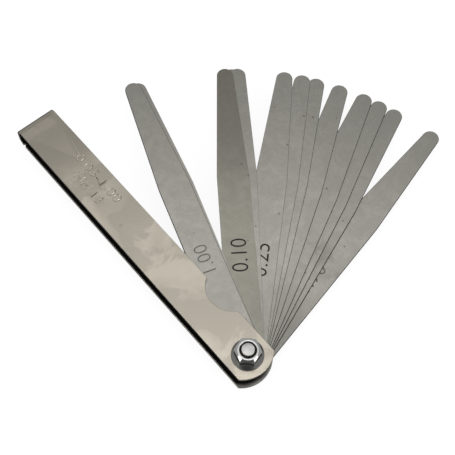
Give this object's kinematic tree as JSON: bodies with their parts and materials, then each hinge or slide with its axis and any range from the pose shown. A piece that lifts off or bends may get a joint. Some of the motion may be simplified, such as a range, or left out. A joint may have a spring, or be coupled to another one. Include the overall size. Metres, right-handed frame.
{
  "type": "feeler gauge",
  "caption": "Fan of tapered steel feeler blades on one pivot screw with a flange nut, folding into an open-sided U-shaped holder with a thumb notch.",
  "frame": {"origin": "on the pivot axis at the flat face of the screw head that the gauge rests on", "axes": "+Y from the pivot along the holder to its folded end, +Z along the pivot axis up through the nut; the blades fan clockwise towards +X"},
  "size_m": [0.1049, 0.1102, 0.0142],
  "materials": {
    "nickel_plate": "satin nickel plate, slightly worn",
    "spring_steel": "satin ground spring steel",
    "spring_steel_dark": "satin ground spring steel, stained darker",
    "bright_fastener": "bright plated"
  },
  "bodies": {
    "holder_body": {"holder": "nickel_plate", "pivot_screw": "bright_fastener", "flange_nut": "bright_fastener"},
    "leaf_0_90": {"blade_0_90": "spring_steel"},
    "leaf_0_80": {"blade_0_80": "spring_steel"},
    "leaf_0_70": {"blade_0_70": "spring_steel"},
    "leaf_0_60": {"blade_0_60": "spring_steel"},
    "leaf_0_50": {"blade_0_50": "spring_steel"},
    "leaf_0_40": {"blade_0_40": "spring_steel"},
    "leaf_0_30": {"blade_0_30": "spring_steel"},
    "leaf_0_25": {"blade_0_25": "spring_steel"},
    "leaf_0_20": {"blade_0_20": "spring_steel"},
    "leaf_0_15": {"blade_0_15": "spring_steel"},
    "leaf_0_10": {"blade_0_10": "spring_steel_dark"},
    "leaf_0_05": {"blade_0_05": "spring_steel"},
    "leaf_1_00": {"blade_1_00": "spring_steel"}
  },
  "joints": [
    {"name": "swing_0_90", "type": "hinge", "parent": "holder_body", "child": "leaf_0_90", "pos_m": [0, 0, 0.00258], "axis": [0, 0, 1], "range_deg": [-100.8, 79.2]},
    {"name": "swing_0_80", "type": "hinge", "parent": "holder_body", "child": "leaf_0_80", "pos_m": [0, 0, 0.00345], "axis": [0, 0, 1], "range_deg": [-109, 71]},
    {"name": "swing_0_70", "type": "hinge", "parent": "holder_body", "child": "leaf_0_70", "pos_m": [0, 0, 0.00422], "axis": [0, 0, 1], "range_deg": [-112.3, 67.7]},
    {"name": "swing_0_60", "type": "hinge", "parent": "holder_body", "child": "leaf_0_60", "pos_m": [0, 0, 0.0049], "axis": [0, 0, 1], "range_deg": [-115.5, 64.5]},
    {"name": "swing_0_50", "type": "hinge", "parent": "holder_body", "child": "leaf_0_50", "pos_m": [0, 0, 0.00547], "axis": [0, 0, 1], "range_deg": [-120.5, 59.5]},
    {"name": "swing_0_40", "type": "hinge", "parent": "holder_body", "child": "leaf_0_40", "pos_m": [0, 0, 0.00595], "axis": [0, 0, 1], "range_deg": [-125.2, 54.8]},
    {"name": "swing_0_30", "type": "hinge", "parent": "holder_body", "child": "leaf_0_30", "pos_m": [0, 0, 0.00632], "axis": [0, 0, 1], "range_deg": [-128, 52]},
    {"name": "swing_0_25", "type": "hinge", "parent": "holder_body", "child": "leaf_0_25", "pos_m": [0, 0, 0.00662], "axis": [0, 0, 1], "range_deg": [-131.5, 48.5]},
    {"name": "swing_0_20", "type": "hinge", "parent": "holder_body", "child": "leaf_0_20", "pos_m": [0, 0, 0.00688], "axis": [0, 0, 1], "range_deg": [-141.8, 38.2]},
    {"name": "swing_0_15", "type": "hinge", "parent": "holder_body", "child": "leaf_0_15", "pos_m": [0, 0, 0.00707], "axis": [0, 0, 1], "range_deg": [-140.7, 39.3]},
    {"name": "swing_0_10", "type": "hinge", "parent": "holder_body", "child": "leaf_0_10", "pos_m": [0, 0, 0.00722], "axis": [0, 0, 1], "range_deg": [-143.1, 36.9]},
    {"name": "swing_0_05", "type": "hinge", "parent": "holder_body", "child": "leaf_0_05", "pos_m": [0, 0, 0.00732], "axis": [0, 0, 1], "range_deg": [-160.3, 19.7]},
    {"name": "swing_1_00", "type": "hinge", "parent": "holder_body", "child": "leaf_1_00", "pos_m": [0, 0, 0.00788], "axis": [0, 0, 1], "range_deg": [-161.2, 18.8]}
  ]
}
